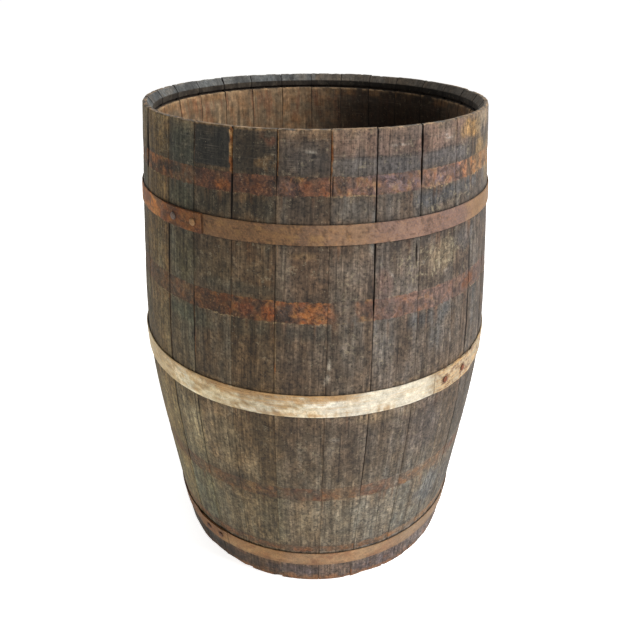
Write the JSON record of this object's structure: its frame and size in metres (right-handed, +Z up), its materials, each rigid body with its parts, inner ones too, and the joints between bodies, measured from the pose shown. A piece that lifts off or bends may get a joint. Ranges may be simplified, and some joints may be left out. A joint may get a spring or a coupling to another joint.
{
  "type": "oak wine barrel",
  "caption": "Upright bowed-stave oak wine barrel, open at the top, bound by riveted iron hoops, with a boarded bottom head and a tapered bung that pulls out at the back.",
  "frame": {"origin": "on the barrel's axis at floor level, the centre of the foot", "axes": "+Z up along the barrel's axis; -Y is the front, the side that the hoop laps are on; +X is the front's right"},
  "size_m": [0.7227, 0.7228, 0.95],
  "materials": {
    "weathered_oak": "weathered grey-brown stave oak, dry and rough",
    "head_oak": "stained head oak",
    "rusty_hoop": "mauve-brown rusted hoop iron, matt",
    "cream_hoop": "chipped cream paint with rust bleeding through",
    "orange_rust_hoop": "bright orange-tan rusted hoop iron, matt",
    "rivet_iron": "rusted rivet iron",
    "bung_oak": "wine-stained bung wood"
  },
  "bodies": {
    "barrel": {"stave_01": "weathered_oak", "stave_02": "weathered_oak", "stave_03": "weathered_oak", "stave_04": "weathered_oak", "stave_05": "weathered_oak", "stave_06": "weathered_oak", "stave_07": "weathered_oak", "stave_08": "weathered_oak", "stave_09": "weathered_oak", "stave_10": "weathered_oak", "stave_11": "weathered_oak", "stave_12": "weathered_oak", "stave_13": "weathered_oak", "stave_14": "weathered_oak", "stave_15": "weathered_oak", "stave_16": "weathered_oak", "stave_17": "weathered_oak", "stave_18": "weathered_oak", "bung_stave": "weathered_oak", "stave_20": "weathered_oak", "stave_21": "weathered_oak", "stave_22": "weathered_oak", "stave_23": "weathered_oak", "stave_24": "weathered_oak", "stave_25": "weathered_oak", "stave_26": "weathered_oak", "stave_27": "weathered_oak", "stave_28": "weathered_oak", "head_board_1": "head_oak", "head_board_2": "head_oak", "head_board_3": "head_oak", "head_board_4": "head_oak", "head_board_5": "head_oak", "head_board_6": "head_oak", "quarter_hoop": "rusty_hoop", "bilge_hoop": "cream_hoop", "bottom_hoop": "orange_rust_hoop", "quarter_hoop_rivet_1": "rivet_iron", "quarter_hoop_rivet_2": "rivet_iron", "bilge_hoop_rivet_1": "rivet_iron", "bilge_hoop_rivet_2": "rivet_iron", "bottom_hoop_rivet_1": "rivet_iron", "bottom_hoop_rivet_2": "rivet_iron"},
    "bung": {"bung": "bung_oak"}
  },
  "joints": [
    {"name": "bung_pull", "type": "slide", "parent": "barrel", "child": "bung", "axis": [0.1096, 0.994, 0], "range_m": [0, 0.06]}
  ]
}
